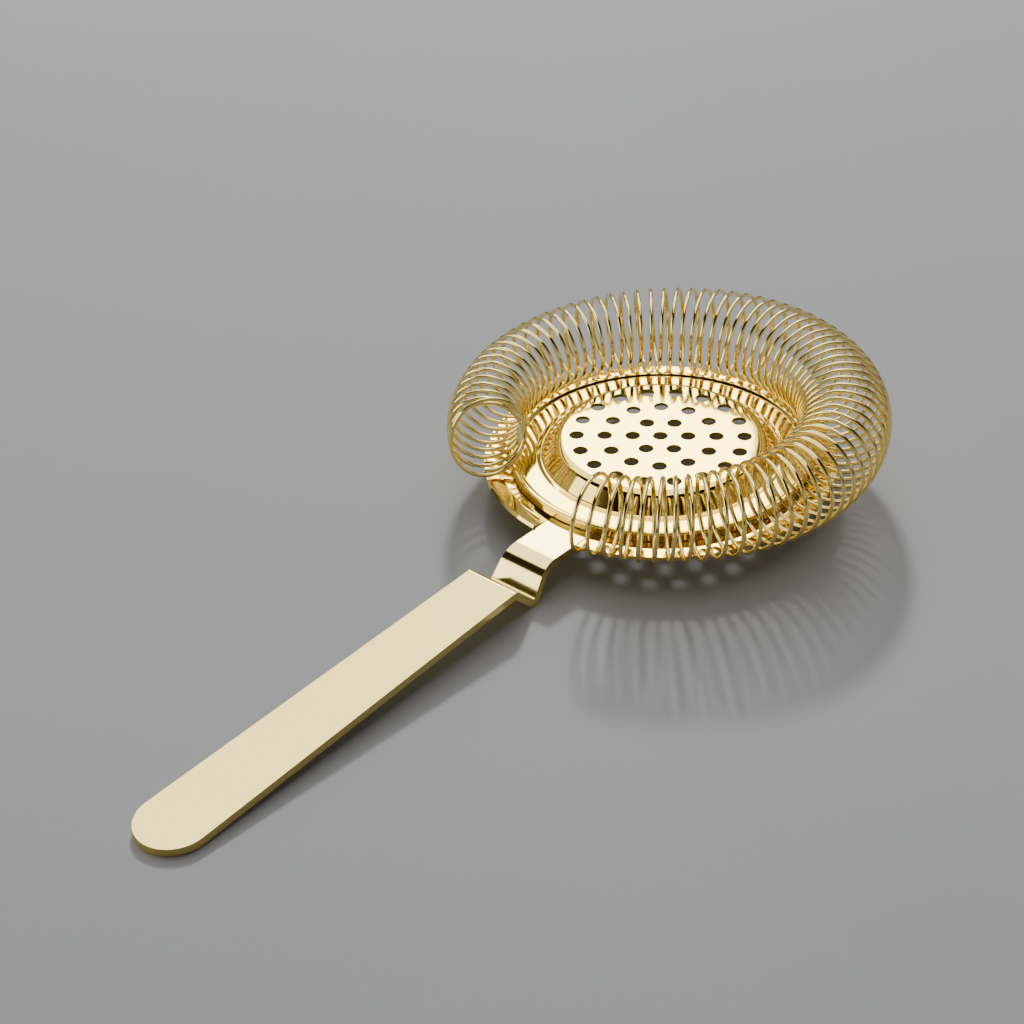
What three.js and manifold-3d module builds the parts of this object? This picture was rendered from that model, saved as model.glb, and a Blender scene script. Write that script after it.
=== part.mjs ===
import * as THREE from 'three';
import * as BufferGeometryUtils from 'three/addons/utils/BufferGeometryUtils.js';
import Module from 'manifold-3d';

// Hawthorne strainer, millimetres, Z up. The disc axis is X = 0, Y = 0 and the handle runs along -X.
// Heights are given from the floor: the notch under the neck and the end of the handle both touch Z = 0.

const gap = 0.3;                 // air left between pieces that touch in the real object

// disc
const sheet = 0.8;               // thickness of both pressed sheets
const plateauR = 23.0;           // perforated middle
const plateauZ = 13.6;
const wallDrop = 4.1;            // middle down to the flat flange
const flangeZ = plateauZ - wallDrop;
const valleyR = plateauR + 4.6;  // foot of the wall
const flangeInR = valleyR + 1.1;
const rimR = flangeInR + 5.8;    // crest of the raised rim
const rimRise = 0.7;             // crest above the flange
const rimOutR = rimR + 0.6;
const rimLip = 0.4;               // crest out to the start of its rounded corner
const rimRound = 0.12;            // and how far the crest has dropped there
const rimZ = flangeZ + rimRise;
const rimFootZ = rimZ - 1.9;     // lower edge of the rim wall
const holeD = 3.5;
const holeRings = [[0, 1], [0.278, 6], [0.561, 12], [0.843, 18]]; // share of plateauR, and how many
const holeTurn = -52.2;          // degrees, first hole of each ring

// lip ring under the rim, which the spring lies on
const lipTopZ = rimFootZ - gap;
const lipInR = rimOutR - 0.7;
const lipOutR = rimOutR + 5.9;
const lipTurnUp = 0.6;           // outer edge turned up beside the handle

// strap handle
const strapT = 1.8;
const strapRootW = 11.0;
const strapCrestW = 13.6;
const strapEndW = 16.4;
const strapOff = -2.5;           // centre line to one side of the disc axis
const strapRootX = rimR + 0.4;
const strapRootZ = lipTopZ;
const shoulderX = rimR + 15.9;
const notchX = shoulderX + 4.5;
const crestX = notchX + 5.9;
const crestZ = 7.5;
const strapLength = 101.7;       // crest to the handle's end
const strapEndX = crestX + strapLength;

// spring: it goes round the rim wall and lies on the lip ring
const wireD = 1.0;
const turns = 72;
const springFootZ = lipTopZ + gap;
const turnR = 9.4;               // radius of one turn, middle of the range
const turnSwell = 0.9;           // turns are this much larger on the far side
const springOff = 0.9;           // the ring of turns sits off the disc axis
const springOffAt = -34;         // towards this direction, degrees
const springStart = 194.0;       // degrees
const springSweep = 310.5;
const springClear = 0.04;        // between wire and rim corner
const springR = hugR();          // radius of that ring
const endLift = 3.6;             // last turn climbs over the rim
const endLean = 0.23;            // and leans, as a share of its radius
const steps = 12;                // straight steps per turn

// the smallest ring whose turns, up to the lifted ones, clear the rim's outer corner
function hugR() {
  const cornerR = rimR + rimLip;
  const cornerZ = rimZ - rimRound;
  let ring = 0;
  for (let turn = 0; turn < turns - 1; turn += 1) {
    const sway = Math.cos((springStart + springSweep * turn / turns - springOffAt) * Math.PI / 180);
    const size = turnR + turnSwell * sway;
    const reach = size + wireD / 2 + springClear;
    const drop = springFootZ + wireD / 2 + size - cornerZ;
    const out = Math.sqrt(Math.max(reach * reach - drop * drop, 0));
    ring = Math.max(ring, cornerR + out - springOff * sway);
  }
  return ring;
}

const wasm = await Module();
wasm.setup();
const rad = THREE.MathUtils.degToRad;

function solid(geometry) {
  const bare = new THREE.BufferGeometry();
  bare.setAttribute('position', geometry.getAttribute('position').clone());
  if (geometry.index) bare.setIndex(geometry.index.clone());
  const merged = BufferGeometryUtils.mergeVertices(bare, 1e-4);
  const vertProperties = new Float32Array(merged.attributes.position.array);
  const triVerts = [];
  const index = merged.index.array;
  for (let i = 0; i < index.length; i += 3) {
    const [a, b, c] = [index[i], index[i + 1], index[i + 2]];
    if (a !== b && b !== c && c !== a) triVerts.push(a, b, c);
  }
  const mesh = new wasm.Mesh({ numProp: 3, vertProperties, triVerts: new Uint32Array(triVerts) });
  mesh.merge();
  let body = new wasm.Manifold(mesh);
  if (body.volume() < 0) {
    for (let i = 0; i < triVerts.length; i += 3) {
      [triVerts[i + 1], triVerts[i + 2]] = [triVerts[i + 2], triVerts[i + 1]];
    }
    body = new wasm.Manifold(new wasm.Mesh({ numProp: 3, vertProperties, triVerts: new Uint32Array(triVerts) }));
  }
  return body;
}

function geometryOf(body) {
  const mesh = body.getMesh();
  const geometry = new THREE.BufferGeometry();
  geometry.setAttribute('position', new THREE.BufferAttribute(mesh.vertProperties, 3));
  geometry.setIndex(new THREE.BufferAttribute(mesh.triVerts, 1));
  geometry.computeVertexNormals();
  return geometry;
}

function turned(profile, segments) {
  const points = profile.map(([r, z]) => new THREE.Vector2(r, z));
  const lathe = new THREE.LatheGeometry(points, segments);
  lathe.rotateX(Math.PI / 2);
  return solid(lathe);
}

function prism(points, z0, z1) {
  const shape = new THREE.Shape(points.map(([x, y]) => new THREE.Vector2(x, y)));
  const block = new THREE.ExtrudeGeometry(shape, { depth: z1 - z0, bevelEnabled: false, steps: 1 });
  block.translate(0, 0, z0);
  return solid(block);
}

// rounds the corners of a polyline; each corner is [x, y, radius]
function rounded(corners, pieces) {
  const out = [];
  corners.forEach(([x, y, radius], i) => {
    if (!radius) {
      out.push([x, y]);
      return;
    }
    const here = new THREE.Vector2(x, y);
    const back = new THREE.Vector2(corners[i - 1][0], corners[i - 1][1]).sub(here).normalize();
    const on = new THREE.Vector2(corners[i + 1][0], corners[i + 1][1]).sub(here).normalize();
    const half = Math.acos(THREE.MathUtils.clamp(back.dot(on), -1, 1)) / 2;
    const reach = radius / Math.tan(half);
    const centre = back.clone().add(on).normalize().multiplyScalar(radius / Math.sin(half)).add(here);
    const from = back.clone().multiplyScalar(reach).add(here).sub(centre);
    const to = on.clone().multiplyScalar(reach).add(here).sub(centre);
    const sweep = Math.atan2(from.x * to.y - from.y * to.x, from.dot(to));
    for (let k = 0; k <= pieces; k += 1) {
      const p = from.clone().rotateAround(new THREE.Vector2(), sweep * k / pieces).add(centre);
      out.push([p.x, p.y]);
    }
  });
  return out;
}

// spring path
const springC = [springOff * Math.cos(rad(springOffAt)), springOff * Math.sin(rad(springOffAt))];
const radiusAt = (deg) => turnR + turnSwell * Math.cos(rad(deg - springOffAt));
const angleAt = (turn) => springStart + springSweep * turn / turns;
const ease = (t) => {
  const k = THREE.MathUtils.clamp(t, 0, 1);
  return k * k * (3 - 2 * k);
};

class SpringPath extends THREE.Curve {
  getPoint(t, target = new THREE.Vector3()) {
    const turn = t * (turns + 0.04);
    const deg = angleAt(turn);
    const roll = rad(360 * turn - 90);
    const size = radiusAt(deg);
    const lift = endLift * ease((turn - turns + 1) / 0.847);
    const lean = endLean * size * ease((turn - turns + 3) / 3) * -Math.sin(roll);
    const out = springR + size * Math.cos(roll);
    const c = Math.cos(rad(deg));
    const s = Math.sin(rad(deg));
    return target.set(
      springC[0] + out * c - lean * s,
      springC[1] + out * s + lean * c,
      springFootZ + wireD / 2 + size + size * Math.sin(roll) + lift,
    );
  }
}

// perforated plate with its rim
function plate() {
  const p = plateauZ;
  const f = flangeZ;
  const profile = [
    [0, p], [plateauR - 1.3, p], [plateauR - 0.4, p - 0.12], [plateauR + 0.5, p - 0.5], [plateauR + 1.2, p - 1.1],
    [valleyR - 0.9, f + 0.3], [valleyR - 0.2, f - 0.15], [valleyR + 0.5, f - 0.2], [flangeInR - 0.1, f - 0.05],
    [flangeInR + 0.5, f], [rimR - 1.2, f + 0.06], [rimR - 0.8, rimZ - 0.35], [rimR - 0.4, rimZ - 0.08],
    [rimR, rimZ], [rimR + rimLip, rimZ - rimRound], [rimOutR - 0.1, rimZ - 0.4], [rimOutR, rimZ - 0.8], [rimOutR, rimFootZ],
    [rimOutR - sheet, rimFootZ], [rimOutR - sheet, rimZ - 0.9], [rimR - 0.2, rimZ - sheet], [rimR - 0.7, f - sheet + 0.1],
    [rimR - 1.2, f - sheet], [flangeInR, f - sheet], [valleyR + 0.4, f - sheet - 0.2], [valleyR - 0.6, f - sheet - 0.15],
    [valleyR - 1.6, f - 0.35], [plateauR + 0.6, p - sheet - 0.75], [plateauR - 0.2, p - sheet - 0.25],
    [plateauR - 0.9, p - sheet - 0.05], [plateauR - 1.4, p - sheet], [0, p - sheet],
  ];
  let body = turned(profile, 84);
  holeRings.forEach(([share, n]) => {
    const r = share * plateauR;
    for (let k = 0; k < n; k += 1) {
      const a = rad(holeTurn + 360 * k / n);
      const drill = new THREE.CylinderGeometry(holeD / 2, holeD / 2, 4, 16);
      drill.rotateX(Math.PI / 2);
      drill.translate(r * Math.cos(a), r * Math.sin(a), p - sheet / 2);
      body = body.subtract(solid(drill));
    }
  });
  return body;
}

// a block that covers the angles between two directions, out to a radius
function sector(from, to, r, z0, z1) {
  const points = [[0, 0]];
  const cuts = 12;
  for (let i = 0; i <= cuts; i += 1) {
    const a = rad(from + (to - from) * i / cuts);
    points.push([r * Math.cos(a), r * Math.sin(a)]);
  }
  return prism(points, z0, z1);
}

// lip ring, open where the strap passes; its edge is turned up only where no turn of the spring lies on it
function lip() {
  const t = lipTopZ;
  const b = t - sheet;
  const flat = turned([
    [lipInR, b], [lipOutR - 0.3, b], [lipOutR, b + 0.3], [lipOutR, t - 0.2], [lipOutR - 0.2, t], [lipInR, t],
    [lipInR, b],
  ], 84);
  const edge = turned([
    [lipOutR - 0.9, b + 0.1], [lipOutR - 0.1, b + 0.2], [lipOutR, b + 0.4], [lipOutR, t + lipTurnUp - 0.2],
    [lipOutR - 0.2, t + lipTurnUp], [lipOutR - 0.5, t + lipTurnUp - 0.1], [lipOutR - 0.7, t + 0.2],
    [lipOutR - 0.9, t - 0.1], [lipOutR - 0.9, b + 0.1],
  ], 84);
  const spare = THREE.MathUtils.radToDeg((wireD / 2 + gap + endLean * turnR) / lipOutR);
  const from = angleAt(turns - 1) - 360 + spare;
  const to = springStart - THREE.MathUtils.radToDeg((wireD / 2 + gap) / lipOutR) - 1;
  let body = flat.add(edge.intersect(sector(from, to, lipOutR + 5, b - 1, t + 3)));
  const half = strapRootW / 2 + gap;
  const open = new THREE.BoxGeometry(12, half * 2, 12);
  open.translate(-lipOutR + 1, strapOff, t);
  body = body.subtract(solid(open));
  return body;
}

// strap: side outline cut to its plan
function strap() {
  const bendOut = 4.4;
  const bendIn = 0.5;
  const bendTop = 1.9;
  const top = rounded([
    [strapRootX, strapRootZ, 0], [shoulderX, strapRootZ, bendOut], [notchX, strapT, bendIn],
    [crestX, crestZ, bendTop], [strapEndX + 4, strapT - 0.2, 0],
  ], 7);
  const under = [];
  top.forEach(([x, y], i) => {
    const a = top[Math.max(i - 1, 0)];
    const b = top[Math.min(i + 1, top.length - 1)];
    const t = new THREE.Vector2(b[0] - a[0], b[1] - a[1]).normalize();
    under.push([x + t.y * strapT, y - t.x * strapT]);
  });
  under.reverse();
  const outline = [...top, ...under].map(([x, y]) => [-x, y]);
  const shape = new THREE.Shape(outline.map(([x, y]) => new THREE.Vector2(x, y)));
  const side = new THREE.ExtrudeGeometry(shape, { depth: 40, bevelEnabled: false, steps: 1 });
  side.translate(0, 0, -20);
  side.rotateX(Math.PI / 2);
  side.translate(0, strapOff, 0);

  const endR = strapEndW / 2;
  const plan = [[-strapRootX, -strapRootW / 2], [-shoulderX + 4, -strapRootW / 2], [-crestX, -strapCrestW / 2]];
  const bend = 12;
  for (let k = 0; k <= bend; k += 1) {
    const a = rad(-90 - 180 * k / bend);
    plan.push([-(strapEndX - endR) + endR * Math.cos(a), endR * Math.sin(a)]);
  }
  plan.push([-crestX, strapCrestW / 2], [-shoulderX + 4, strapRootW / 2], [-strapRootX, strapRootW / 2]);
  const cut = prism(plan.map(([x, y]) => [x, y + strapOff]), -5, 40);
  return solid(side).intersect(cut);
}

function spring() {
  const half = wireD / 2;
  const section = new THREE.Shape([
    new THREE.Vector2(half, 0), new THREE.Vector2(0, half), new THREE.Vector2(-half, 0), new THREE.Vector2(0, -half),
  ]);
  return new THREE.ExtrudeGeometry(section, {
    steps: Math.round(turns * steps), bevelEnabled: false, extrudePath: new SpringPath(),
  });
}

function piece(name, geometry, colour) {
  const mesh = new THREE.Mesh(geometry, new THREE.MeshStandardMaterial({ color: colour, metalness: 1, roughness: 0.2 }));
  mesh.name = name;
  return mesh;
}

const group = new THREE.Group();
group.name = 'hawthorne_strainer';
group.add(piece('strainer_plate', geometryOf(plate()), 0xd9b766));
group.add(piece('lip_ring', geometryOf(lip()), 0xc9a24e));
group.add(piece('handle', geometryOf(strap()), 0xe0c885));
group.add(piece('coil_spring', geometryOf(solid(spring())), 0xcfc08e));

const box = new THREE.Box3().setFromObject(group);
const middle = box.getCenter(new THREE.Vector3());
group.children.forEach((mesh) => {
  mesh.geometry.translate(-middle.x, -middle.y, -box.min.z);
});

export default group;
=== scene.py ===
import math
import bpy
from mathutils import Matrix, Vector


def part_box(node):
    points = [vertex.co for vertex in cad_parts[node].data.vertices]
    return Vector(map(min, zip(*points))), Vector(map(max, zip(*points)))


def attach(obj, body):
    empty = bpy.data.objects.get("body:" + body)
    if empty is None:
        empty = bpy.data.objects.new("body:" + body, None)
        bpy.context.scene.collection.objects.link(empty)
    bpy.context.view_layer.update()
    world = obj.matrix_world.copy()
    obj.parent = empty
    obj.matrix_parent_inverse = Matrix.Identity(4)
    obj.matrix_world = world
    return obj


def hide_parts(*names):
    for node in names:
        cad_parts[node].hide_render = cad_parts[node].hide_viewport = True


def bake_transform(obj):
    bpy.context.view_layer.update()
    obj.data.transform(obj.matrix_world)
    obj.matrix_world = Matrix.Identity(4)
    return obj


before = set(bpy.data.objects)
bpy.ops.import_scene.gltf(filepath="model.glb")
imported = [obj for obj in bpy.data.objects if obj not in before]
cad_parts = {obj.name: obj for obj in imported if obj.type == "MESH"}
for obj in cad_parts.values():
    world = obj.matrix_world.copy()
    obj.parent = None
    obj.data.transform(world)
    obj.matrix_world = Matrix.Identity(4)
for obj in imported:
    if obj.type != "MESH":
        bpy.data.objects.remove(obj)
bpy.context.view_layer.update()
bpy.ops.object.select_all(action='DESELECT')

mm = 0.001
mergeGap = 0.002 * mm
bevelAngle = 50  # degrees; edges sharper than this are rounded
plateLow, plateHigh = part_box("strainer_plate")
discX = (plateLow.x + plateHigh.x) / 2  # the disc's own axis
discY = (plateLow.y + plateHigh.y) / 2
discTop = plateHigh.z
handleLow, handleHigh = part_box("handle")
strapY = (handleLow.y + handleHigh.y) / 2


def ease(t):
    t = min(max(t, 0), 1)
    return t * t * (3 - 2 * t)


def editAll():
    bpy.ops.object.mode_set(mode='EDIT')
    bpy.ops.mesh.select_all(action='SELECT')


def leaveEdit():
    bpy.ops.object.mode_set(mode='OBJECT')


def onlyActive(obj):
    bpy.ops.object.select_all(action='DESELECT')
    obj.select_set(True)
    bpy.context.view_layer.objects.active = obj


def applyModifier(obj, kind, **settings):
    onlyActive(obj)
    modifier = obj.modifiers.new(kind.title(), kind)
    for key, value in settings.items():
        setattr(modifier, key, value)
    bpy.ops.object.modifier_apply(modifier=modifier.name)


def applyPlace():
    bpy.ops.object.transform_apply(location=True, rotation=True, scale=True)


def settle(obj, name):
    onlyActive(obj)
    obj.name = name
    obj.data.name = name
    applyPlace()


def fixNormals():
    editAll()
    bpy.ops.mesh.remove_doubles(threshold=mergeGap)
    bpy.ops.mesh.normals_make_consistent(inside=False)
    leaveEdit()


def faceUp(obj):  # an open sheet, before its wall gets its thickness
    fixNormals()
    if sum(face.normal.z * face.area for face in obj.data.polygons) < 0:
        editAll()
        bpy.ops.mesh.flip_normals()
        leaveEdit()


def thicken(obj, sheet):  # downwards from the sheet's upper face
    applyModifier(obj, 'SOLIDIFY', thickness=sheet * mm, offset=-1, use_even_offset=True)


def smoothByAngle(obj, degrees):
    onlyActive(obj)
    bpy.ops.object.shade_smooth_by_angle(angle=math.radians(degrees))


def roundEdges(obj, width, segments, smooth):
    applyModifier(
        obj, 'BEVEL', width=width * mm, segments=segments, limit_method='ANGLE',
        angle_limit=math.radians(bevelAngle))
    smoothByAngle(obj, smooth)
    applyModifier(obj, 'WEIGHTED_NORMAL', keep_sharp=True)


def cutWith(obj, cutter):
    applyModifier(obj, 'BOOLEAN', object=cutter, operation='DIFFERENCE', solver='EXACT')
    bpy.data.objects.remove(cutter)


# a ring of edges extruded from one radius and height to the next, in millimetres from the disc's top centre
def raiseRings(profile, segments, closeMiddle):
    radius, height = profile[0]
    bpy.ops.mesh.primitive_circle_add(
        vertices=segments, radius=radius * mm, fill_type='NOTHING', location=(discX, discY, discTop + height * mm))
    disc = bpy.context.object
    editAll()
    if closeMiddle:
        bpy.ops.mesh.edge_face_add()
    bpy.ops.mesh.select_mode(type='EDGE')
    for nextRadius, nextHeight in profile[1:]:
        bpy.ops.mesh.extrude_edges_move(TRANSFORM_OT_translate={"value": (0, 0, (nextHeight - height) * mm)})
        scale = nextRadius / radius
        bpy.ops.transform.resize(
            value=(scale, scale, 1), center_override=(discX, discY, discTop + nextHeight * mm))
        radius, height = nextRadius, nextHeight
    leaveEdit()
    return disc


# rounds the corners of an open line; each corner is (x, y, radius)
def roundCorners(corners, pieces):
    points = []
    for i, (x, y, radius) in enumerate(corners):
        here = Vector((x, y))
        if not radius:
            points.append((x, y))
            continue
        back = (Vector(corners[i - 1][:2]) - here).normalized()
        ahead = (Vector(corners[i + 1][:2]) - here).normalized()
        half = back.angle(ahead) / 2
        middle = here + (back + ahead).normalized() * (radius / math.sin(half))
        start = here + back * (radius / math.tan(half)) - middle
        end = here + ahead * (radius / math.tan(half)) - middle
        sweep = math.atan2(start.x * end.y - start.y * end.x, start.dot(end))
        for k in range(pieces + 1):
            spoke = Matrix.Rotation(sweep * k / pieces, 2) @ start
            points.append(tuple(middle + spoke))
    return points


plate = {
    "sheet": 0.8, "segments": 192, "cornerPieces": 8, "bevel": 0.12, "bevelSegments": 2, "smooth": 35,
    "corners": [
        (20.6, 0, 0), (23.9, 0, 2.8), (27.4, -4.35, 0.9), (28.9, -4.1, 2.0), (33.25, -4.08, 0.7),
        (33.95, -3.4, 0.6), (35.1, -3.4, 0.6), (35.1, -5.3, 0)],
    "holeR": 1.75, "holeSides": 40, "holeRings": ((0, 1), (6.4, 6), (12.9, 12), (19.4, 18)), "holeTurn": -52.2,
    "drill": 4.0,
}


def makeDrills():
    drills = []
    for ring, count in plate["holeRings"]:
        for k in range(count):
            a = math.radians(plate["holeTurn"] + 360 * k / count)
            bpy.ops.mesh.primitive_cylinder_add(
                vertices=plate["holeSides"], radius=plate["holeR"] * mm, depth=plate["drill"] * mm,
                location=(
                    discX + ring * math.cos(a) * mm, discY + ring * math.sin(a) * mm,
                    discTop - plate["sheet"] / 2 * mm))
            drills.append(bpy.context.object)
    for drill in drills:
        drill.select_set(True)
    bpy.context.view_layer.objects.active = drills[0]
    bpy.ops.object.join()
    return bpy.context.object


def makePlate():
    disc = raiseRings(roundCorners(plate["corners"], plate["cornerPieces"]), plate["segments"], True)
    faceUp(disc)
    thicken(disc, plate["sheet"])
    cutWith(disc, makeDrills())
    settle(disc, "pressedPlate")
    roundEdges(disc, plate["bevel"], plate["bevelSegments"], plate["smooth"])
    return disc


lipRing = {
    "sheet": 0.8, "segments": 192, "cornerPieces": 8, "bevel": 0.16, "bevelSegments": 3, "smooth": 35,
    "flat": -5.6,
    "corners": [(34.4, -5.6, 0), (37.2, -5.75, 2.0), (40.3, -5.25, 1.2), (41.0, -4.75, 0)],
    "shapedFrom": 144.3, "shapedTo": 191.9, "fade": 2.5,  # degrees; flat elsewhere, under the spring
    "gateW": 11.6, "gateX": -40.0, "gateL": 12.0,  # where the strap passes
}


def makeLipRing():
    ring = raiseRings(roundCorners(lipRing["corners"], lipRing["cornerPieces"]), lipRing["segments"], False)
    for vertex in ring.data.vertices:
        p = ring.matrix_world @ vertex.co
        rise = p.z - discTop - lipRing["flat"] * mm
        deg = math.degrees(math.atan2(p.y - discY, p.x - discX)) % 360
        inside = min(deg - lipRing["shapedFrom"], lipRing["shapedTo"] - deg) / lipRing["fade"]
        vertex.co.z -= rise * (1 - ease(inside))
    faceUp(ring)
    thicken(ring, lipRing["sheet"])
    bpy.ops.mesh.primitive_cube_add(
        size=1, location=(discX + lipRing["gateX"] * mm, strapY, discTop + lipRing["flat"] * mm))
    gate = bpy.context.object
    gate.scale = (lipRing["gateL"] * mm, lipRing["gateW"] * mm, lipRing["gateL"] * mm)
    applyPlace()
    cutWith(ring, gate)
    settle(ring, "lipRing")
    roundEdges(ring, lipRing["bevel"], lipRing["bevelSegments"], lipRing["smooth"])
    return ring


strap = {
    "thick": 1.8, "rootX": 34.9, "rootZ": -5.6, "rootW": 11.0,
    "shoulder": 50.4, "shoulderR": 6.5, "notch": 54.9, "notchZ": -11.8, "notchR": 0.5,
    "crest": 60.8, "crestZ": -6.1, "crestR": 1.9, "crestW": 13.6, "fall": 0.05582, "end": 162.5, "endW": 16.4,
    "widenFrom": 4.0,  # before the shoulder's corner
    "tipHalf": 0.3,  # square of the narrowest half width at the round end
    "cornerPieces": 14, "gripPieces": 9, "tipPieces": 24,
    "bevel": 0.5, "bevelSegments": 5, "smooth": 40,
}


def strapWidth(along):
    endR = strap["endW"] / 2
    straight = strap["end"] - endR
    if along >= straight:
        return 2 * math.sqrt(max(endR ** 2 - (along - straight) ** 2, strap["tipHalf"]))
    if along >= strap["crest"]:
        t = (along - strap["crest"]) / (straight - strap["crest"])
        return strap["crestW"] + (strap["endW"] - strap["crestW"]) * t
    start = strap["shoulder"] - strap["widenFrom"]
    return strap["rootW"] + (strap["crestW"] - strap["rootW"]) * ease((along - start) / (strap["crest"] - start))


# the strap's upper face from the side: distance from the disc axis, and height from the disc's top
def strapLine():
    endR = strap["endW"] / 2
    gripEnd = strap["end"] - endR
    line = roundCorners([
        (strap["rootX"], strap["rootZ"], 0), (strap["shoulder"], strap["rootZ"], strap["shoulderR"]),
        (strap["notch"], strap["notchZ"], strap["notchR"]), (strap["crest"], strap["crestZ"], strap["crestR"]),
        (gripEnd, strap["crestZ"] - strap["fall"] * (gripEnd - strap["crest"]), 0)], strap["cornerPieces"])
    x0, z0 = line[-2]
    x1, z1 = line[-1]
    fall = (z1 - z0) / (x1 - x0)
    for k in range(1, strap["gripPieces"]):
        x = x0 + (x1 - x0) * k / strap["gripPieces"]
        line.insert(-1, (x, z0 + fall * (x - x0)))
    for k in range(1, strap["tipPieces"] + 1):
        x = x1 + endR * math.sin(math.radians(90 * k / strap["tipPieces"]))
        line.append((x, z1 + fall * (x - x1)))
    return line


def makeHandle():
    line = strapLine()
    along, height = line[0]
    bpy.ops.mesh.primitive_plane_add(size=1, location=(discX - along * mm, strapY, discTop + height * mm))
    blade = bpy.context.object
    blade.scale = (0.01 * mm, strapWidth(along) * mm, 1)  # a plane this thin closes up to one edge
    applyPlace()
    editAll()
    bpy.ops.mesh.remove_doubles(threshold=0.2 * mm)
    bpy.ops.mesh.select_all(action='SELECT')
    for nextAlong, nextHeight in line[1:]:
        bpy.ops.mesh.extrude_edges_move(
            TRANSFORM_OT_translate={"value": ((along - nextAlong) * mm, 0, (nextHeight - height) * mm)})
        scale = strapWidth(nextAlong) / strapWidth(along)
        bpy.ops.transform.resize(value=(1, scale, 1), center_override=(discX, strapY, discTop))
        along, height = nextAlong, nextHeight
    leaveEdit()
    faceUp(blade)
    thicken(blade, strap["thick"])
    settle(blade, "strapHandle")
    roundEdges(blade, strap["bevel"], strap["bevelSegments"], strap["smooth"])
    return blade


spring = {
    "turns": 72, "ringR": 41.23, "offset": 0.9, "offsetAt": -34.0, "turnR": 9.4, "swell": 0.9,
    "foot": -5.3, "wire": 1.0, "start": 194.0, "sweep": 310.5,
    "endLift": 3.6, "liftOver": 0.847, "endLean": 0.23, "leanTurns": 3,  # the last turn climbs over the rim
    "tail": 0.04, "stepsPerTurn": 48, "smooth": 50,
}


def springPoint(turn):
    deg = spring["start"] + spring["sweep"] * turn / spring["turns"]
    roll = math.radians(360 * turn - 90)
    offsetAt = math.radians(spring["offsetAt"])
    around = math.radians(deg)
    size = spring["turnR"] + spring["swell"] * math.cos(around - offsetAt)
    lift = spring["endLift"] * ease((turn - spring["turns"] + 1) / spring["liftOver"])
    leaning = ease((turn - spring["turns"] + spring["leanTurns"]) / spring["leanTurns"])
    lean = -spring["endLean"] * size * leaning * math.sin(roll)
    out = spring["ringR"] + size * math.cos(roll)
    x = spring["offset"] * math.cos(offsetAt) + out * math.cos(around) - lean * math.sin(around)
    y = spring["offset"] * math.sin(offsetAt) + out * math.sin(around) + lean * math.cos(around)
    z = spring["foot"] + spring["wire"] / 2 + size * (1 + math.sin(roll)) + lift
    return discX + x * mm, discY + y * mm, discTop + z * mm


def makeCoil():
    length = spring["turns"] + spring["tail"]
    count = int(length * spring["stepsPerTurn"])
    bpy.ops.curve.primitive_bezier_curve_add()
    wire = bpy.context.object
    curve = wire.data
    curve.splines.clear()
    line = curve.splines.new('POLY')
    line.points.add(count)
    for i in range(count + 1):
        line.points[i].co = (*springPoint(length * i / count), 1)
    curve.dimensions = '3D'
    curve.twist_mode = 'MINIMUM'
    curve.bevel_depth = spring["wire"] / 2 * mm
    curve.bevel_resolution = 2
    curve.use_fill_caps = True
    onlyActive(wire)
    bpy.ops.object.convert(target='MESH')
    wire = bpy.context.object
    settle(wire, "coilWire")
    fixNormals()
    smoothByAngle(wire, spring["smooth"])
    return wire


class Socket:
    def __init__(self, maker, out):
        self.maker = maker
        self.out = out

    def math(self, kind, first, second):
        return self.maker.node('ShaderNodeMath', {"operation": kind}, {0: first, 1: second})

    def __add__(self, other):
        return self.math('ADD', self, other)

    def __radd__(self, other):
        return self.math('ADD', other, self)

    def __sub__(self, other):
        return self.math('SUBTRACT', self, other)

    def __rsub__(self, other):
        return self.math('SUBTRACT', other, self)

    def __mul__(self, other):
        return self.math('MULTIPLY', self, other)

    def __rmul__(self, other):
        return self.math('MULTIPLY', other, self)


class Finish:
    def __init__(self, owner, shader):  # owner is a material or a world
        owner.use_nodes = True
        self.owner = owner
        self.tree = owner.node_tree
        self.shader = self.tree.nodes[shader]

    def plug(self, made, key, value):
        if isinstance(value, Socket):
            self.tree.links.new(value.out, made.inputs[key])
        else:
            made.inputs[key].default_value = value

    def node(self, kind, settings=None, inputs=None, output=0):
        made = self.tree.nodes.new(kind)
        for key, value in (settings or {}).items():
            if key == "stops":
                self.setStops(made.color_ramp.elements, value)
            else:
                setattr(made, key, value)
        for key, value in (inputs or {}).items():
            self.plug(made, key, value)
        return Socket(self, made.outputs[output])

    def setStops(self, elements, stops):  # each stop is (place, grey)
        for element, (place, grey) in zip(elements, (stops[0], stops[-1])):
            element.position = place
            element.color = (grey, grey, grey, 1)
        for place, grey in stops[1:-1]:
            elements.new(place).color = (grey, grey, grey, 1)

    def noise(self, scale, detail):
        place = self.node('ShaderNodeTexCoord', output='Object')
        return self.node('ShaderNodeTexNoise', inputs={"Vector": place, "Scale": scale, "Detail": detail})

    def mix(self, factor, a, b):
        return self.node('ShaderNodeMix', {"data_type": 'RGBA'}, {0: factor, 6: a, 7: b}, 2)

    def feed(self, name, value):
        self.plug(self.shader, name, value)


goldWear = {
    "cloudScale": 42.0, "cloudDetail": 3.0, "cloudRough": 0.05, "cloudRise": 0.6,
    "fineScale": 900.0, "fineDetail": 2.0, "fineRough": 0.03, "fineRise": 0.1, "rise": 0.2,
}


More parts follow.
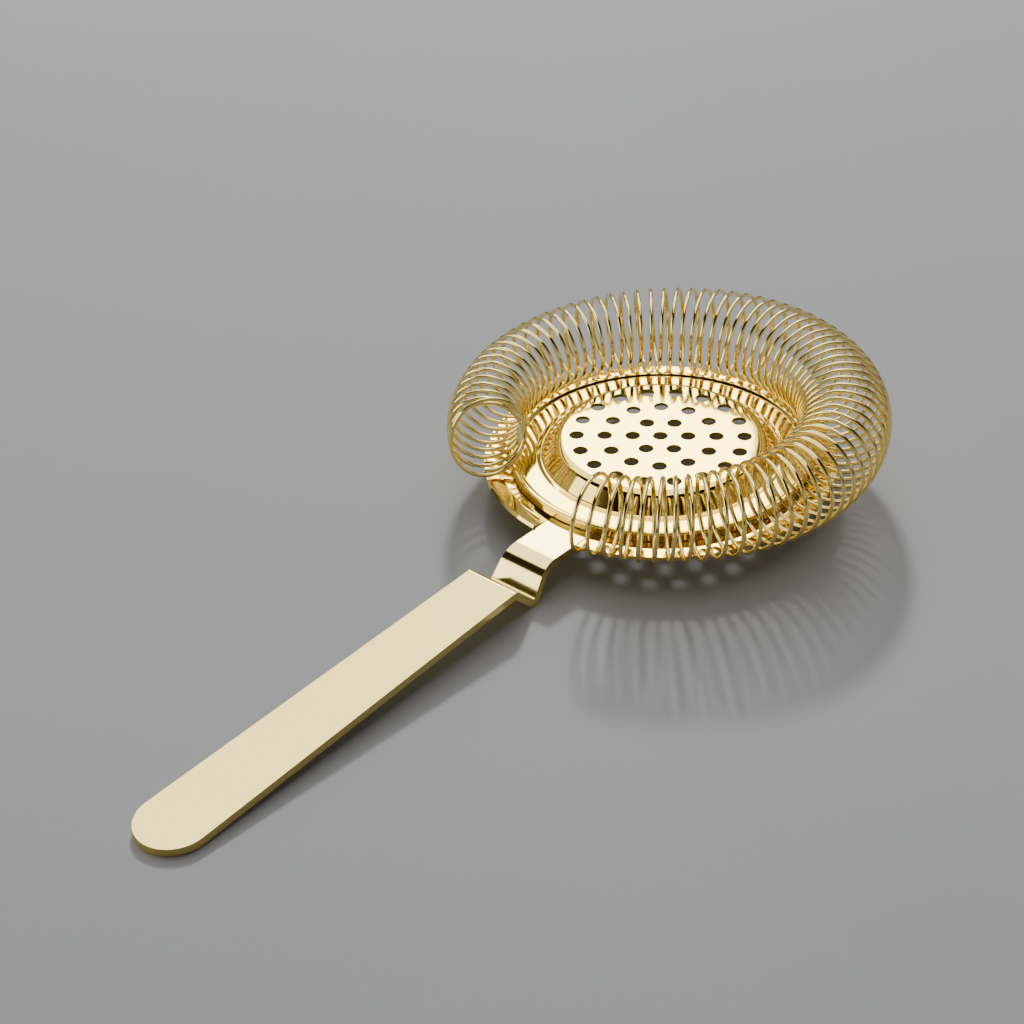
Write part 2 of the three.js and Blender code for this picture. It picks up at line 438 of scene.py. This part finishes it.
def polishedGold(name, light, deep, rough, ripple):
    gold = Finish(bpy.data.materials.new(name), "Principled BSDF")
    cloud = gold.noise(goldWear["cloudScale"], goldWear["cloudDetail"])
    fine = gold.noise(goldWear["fineScale"], goldWear["fineDetail"])
    gold.feed("Base Color", gold.mix(cloud, light, deep))
    gold.feed("Roughness", rough + (cloud - 0.5) * goldWear["cloudRough"] + (fine - 0.5) * goldWear["fineRough"])
    gold.feed("Metallic", 1.0)
    gold.feed("Normal", gold.node('ShaderNodeBump', inputs={
        "Strength": ripple, "Distance": goldWear["rise"] * mm,
        "Height": cloud * goldWear["cloudRise"] + fine * goldWear["fineRise"]}))
    return gold.owner


def dress(obj, material):
    obj.data.materials.clear()
    obj.data.materials.append(material)
    for face in obj.data.polygons:
        face.material_index = 0


plateGold = polishedGold("plateGold", (1.0, 0.74, 0.16, 1), (0.97, 0.69, 0.13, 1), 0.06, 0.03)
strapGold = polishedGold("strapGold", (1.0, 0.80, 0.27, 1), (0.98, 0.78, 0.24, 1), 0.11, 0.03)
# painted sheen: the coil wire's gold is paler and yellower than the plate's, painted lighter to stand in for
# bright reflections along its turns
wireGold = polishedGold("wireGold", (1.0, 0.83, 0.34, 1), (0.97, 0.79, 0.28, 1), 0.10, 0.04)

plateObj = makePlate()
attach(plateObj, "strainer")
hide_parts("strainer_plate")
dress(plateObj, plateGold)
print("plate done", len(plateObj.data.polygons))

ringObj = makeLipRing()
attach(ringObj, "strainer")
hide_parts("lip_ring")
dress(ringObj, plateGold)
print("lip ring done", len(ringObj.data.polygons))

handleObj = makeHandle()
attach(handleObj, "strainer")
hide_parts("handle")
dress(handleObj, strapGold)
print("handle done", len(handleObj.data.polygons))

coilObj = makeCoil()
dress(coilObj, wireGold)
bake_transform(coilObj)
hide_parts("coil_spring")
print("coil done", len(coilObj.data.polygons))


stage = {
    "floorSize": 8, "floor": (0.40, 0.405, 0.415, 1), "mottle": 1.12, "mottleScale": 6.0, "mottleDetail": 5.0,
    "floorRough": 0.62,
    "lens": 84.375, "sensor": 36, "clip": 0.01,
    "eye": (-368.47, -293.3, 297.31), "turn": (55.959, 1.789, -48.428),  # millimetres from the disc's top, degrees
    "room": ((0.0, 0.07), (0.13, 0.07), (0.25, 0.58), (0.42, 0.34), (0.62, 0.012)),  # height of the view, grey
}

# glow is how bright a panel itself looks; seen is whether it is reflected, lights whether it lights what is matt
panels = {
    "ceilingPanel": {"place": (0.86, 0.88, 1.6), "target": (0.86, 0.88, 0), "size": (2.5, 2.5), "glow": 0.85},
    "ceilingShine": {
        "place": (0.86, 0.88, 1.61), "target": (0.86, 0.88, 0), "size": (2.5, 2.5), "glow": 1.75, "lights": False},
    "keyLamp": {
        "place": (1.373, 1.192, 1.113), "target": (0.05, 0, 0), "size": (0.17, 0.17), "glow": 340, "seen": False},
    "keyCore": {"place": (1.55, 1.35, 1.28), "target": (0.05, 0, 0), "size": (0.5, 0.4), "glow": 8.0},
    "leftPanel": {
        "place": (-1.35, 1.0, 0.62), "target": (0, 0, 0), "size": (1.3, 0.9), "glow": 3.2, "lights": False},
}


def makeFloor():
    bpy.ops.mesh.primitive_plane_add(size=stage["floorSize"], location=(0, 0, 0))
    floor = bpy.context.object
    floor.name = "floor"
    paint = Finish(bpy.data.materials.new("paleFloor"), "Principled BSDF")
    dark = stage["floor"]
    pale = (*(value * stage["mottle"] for value in dark[:3]), 1)
    paint.feed("Base Color", paint.mix(paint.noise(stage["mottleScale"], stage["mottleDetail"]), dark, pale))
    paint.feed("Roughness", stage["floorRough"])
    dress(floor, paint.owner)


def makeLight(name, place, target, size, glow, seen=True, lights=True):
    bpy.ops.object.light_add(type='AREA', location=place)
    lamp = bpy.context.object
    lamp.name = name
    lamp.data.shape = 'RECTANGLE'
    lamp.data.size, lamp.data.size_y = size
    lamp.data.energy = glow * math.pi * size[0] * size[1]
    lamp.rotation_euler = (Vector(target) - Vector(place)).to_track_quat('-Z', 'Y').to_euler()
    lamp.visible_glossy = seen
    lamp.visible_diffuse = lights


def makeCamera():
    eye = stage["eye"]
    bpy.ops.object.camera_add(location=(discX + eye[0] * mm, discY + eye[1] * mm, discTop + eye[2] * mm))
    camera = bpy.context.object
    camera.data.lens = stage["lens"]
    camera.data.sensor_width = stage["sensor"]
    camera.data.clip_start = stage["clip"]
    camera.rotation_euler = [math.radians(angle) for angle in stage["turn"]]
    bpy.context.scene.camera = camera


def makeRoom():  # grey walls above a dim horizon, falling away to dark overhead
    world = bpy.data.worlds.new("room")
    bpy.context.scene.world = world
    room = Finish(world, "Background")
    view = room.node('ShaderNodeTexCoord', output='Generated')
    height = room.node('ShaderNodeSeparateXYZ', inputs={"Vector": view}, output='Z')
    room.feed("Color", room.node('ShaderNodeValToRGB', {"stops": stage["room"]}, {"Fac": height}))
    room.feed("Strength", 1.0)


makeFloor()
for name, panel in panels.items():
    makeLight(name, **panel)
makeCamera()
makeRoom()
print("stage done")
